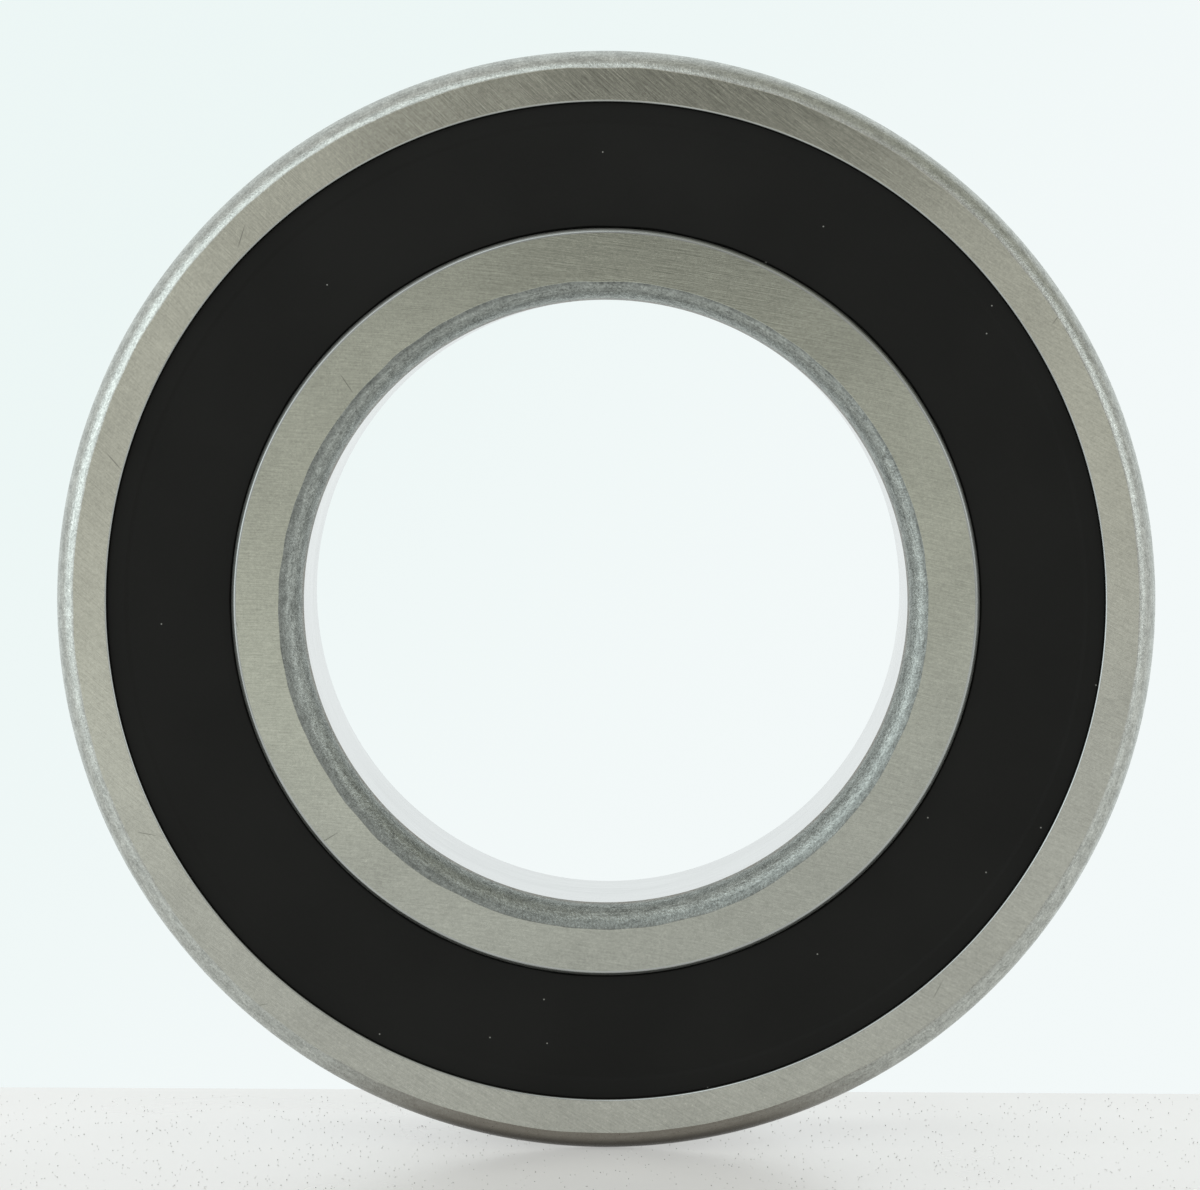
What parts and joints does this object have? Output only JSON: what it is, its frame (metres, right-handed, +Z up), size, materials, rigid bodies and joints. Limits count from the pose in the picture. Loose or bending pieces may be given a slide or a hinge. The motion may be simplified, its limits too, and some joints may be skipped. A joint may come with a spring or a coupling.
{
  "type": "sealed deep groove ball bearing",
  "caption": "Deep groove ball bearing with contact seals on both sides; the inner ring, balls and cage turn inside the outer ring to carry a rotating shaft.",
  "frame": {"origin": "centre of the bearing, on its spin axis and half-way across its width", "axes": "+Y along the spin axis from the front side face to the rear one, +Z up with the bearing standing on its rim, +X to the right seen from the front"},
  "size_m": [0.1, 0.021, 0.1],
  "materials": {
    "ring_steel": "ground side faces with fine grinding lines, tumbled corner radii, bright honed bore and rim",
    "ball_steel": "mirror-lapped hardened bearing steel",
    "cage_steel": "pressed strip steel, satin",
    "rivet_steel": "headed wire, satin",
    "seal_rubber": "moulded nitrile rubber, black, semi-matt",
    "seal_core_steel": "pressed sheet steel, satin"
  },
  "bodies": {
    "outer_ring": {"outer_ring": "ring_steel", "seal_front_rubber": "seal_rubber", "seal_front_core": "seal_core_steel", "seal_rear_rubber": "seal_rubber", "seal_rear_core": "seal_core_steel"},
    "inner_ring": {"inner_ring": "ring_steel"},
    "cage": {"cage_front": "cage_steel", "cage_rear": "cage_steel", "cage_rivet_01": "rivet_steel", "cage_rivet_02": "rivet_steel", "cage_rivet_03": "rivet_steel", "cage_rivet_04": "rivet_steel", "cage_rivet_05": "rivet_steel", "cage_rivet_06": "rivet_steel", "cage_rivet_07": "rivet_steel", "cage_rivet_08": "rivet_steel", "cage_rivet_09": "rivet_steel", "cage_rivet_10": "rivet_steel"},
    "ball_01": {"ball_01": "ball_steel"},
    "ball_02": {"ball_02": "ball_steel"},
    "ball_03": {"ball_03": "ball_steel"},
    "ball_04": {"ball_04": "ball_steel"},
    "ball_05": {"ball_05": "ball_steel"},
    "ball_06": {"ball_06": "ball_steel"},
    "ball_07": {"ball_07": "ball_steel"},
    "ball_08": {"ball_08": "ball_steel"},
    "ball_09": {"ball_09": "ball_steel"},
    "ball_10": {"ball_10": "ball_steel"}
  },
  "joints": [
    {"name": "inner_spin", "type": "hinge", "parent": "outer_ring", "child": "inner_ring", "pos_m": [0, 0, 0], "axis": [0, 1, 0], "continuous": true},
    {"name": "cage_orbit", "type": "hinge", "parent": "outer_ring", "child": "cage", "pos_m": [0, 0, 0], "axis": [0, 1, 0], "continuous": true},
    {"name": "ball_01_spin", "type": "hinge", "parent": "cage", "child": "ball_01", "pos_m": [0, 0, 0.03875], "axis": [0, 1, 0], "continuous": true},
    {"name": "ball_02_spin", "type": "hinge", "parent": "cage", "child": "ball_02", "pos_m": [0.02278, 0, 0.03135], "axis": [0, 1, 0], "continuous": true},
    {"name": "ball_03_spin", "type": "hinge", "parent": "cage", "child": "ball_03", "pos_m": [0.03685, 0, 0.01197], "axis": [0, 1, 0], "continuous": true},
    {"name": "ball_04_spin", "type": "hinge", "parent": "cage", "child": "ball_04", "pos_m": [0.03685, 0, -0.01197], "axis": [0, 1, 0], "continuous": true},
    {"name": "ball_05_spin", "type": "hinge", "parent": "cage", "child": "ball_05", "pos_m": [0.02278, 0, -0.03135], "axis": [0, 1, 0], "continuous": true},
    {"name": "ball_06_spin", "type": "hinge", "parent": "cage", "child": "ball_06", "pos_m": [0, 0, -0.03875], "axis": [0, 1, 0], "continuous": true},
    {"name": "ball_07_spin", "type": "hinge", "parent": "cage", "child": "ball_07", "pos_m": [-0.02278, 0, -0.03135], "axis": [0, 1, 0], "continuous": true},
    {"name": "ball_08_spin", "type": "hinge", "parent": "cage", "child": "ball_08", "pos_m": [-0.03685, 0, -0.01197], "axis": [0, 1, 0], "continuous": true},
    {"name": "ball_09_spin", "type": "hinge", "parent": "cage", "child": "ball_09", "pos_m": [-0.03685, 0, 0.01197], "axis": [0, 1, 0], "continuous": true},
    {"name": "ball_10_spin", "type": "hinge", "parent": "cage", "child": "ball_10", "pos_m": [-0.02278, 0, 0.03135], "axis": [0, 1, 0], "continuous": true}
  ],
  "couplings": [
    {"joint": "cage_orbit", "follows": "inner_spin", "ratio": 0.40782},
    {"joint": "ball_01_spin", "follows": "inner_spin", "ratio": -2.6199},
    {"joint": "ball_02_spin", "follows": "inner_spin", "ratio": -2.6199},
    {"joint": "ball_03_spin", "follows": "inner_spin", "ratio": -2.6199},
    {"joint": "ball_04_spin", "follows": "inner_spin", "ratio": -2.6199},
    {"joint": "ball_05_spin", "follows": "inner_spin", "ratio": -2.6199},
    {"joint": "ball_06_spin", "follows": "inner_spin", "ratio": -2.6199},
    {"joint": "ball_07_spin", "follows": "inner_spin", "ratio": -2.6199},
    {"joint": "ball_08_spin", "follows": "inner_spin", "ratio": -2.6199},
    {"joint": "ball_09_spin", "follows": "inner_spin", "ratio": -2.6199},
    {"joint": "ball_10_spin", "follows": "inner_spin", "ratio": -2.6199}
  ]
}
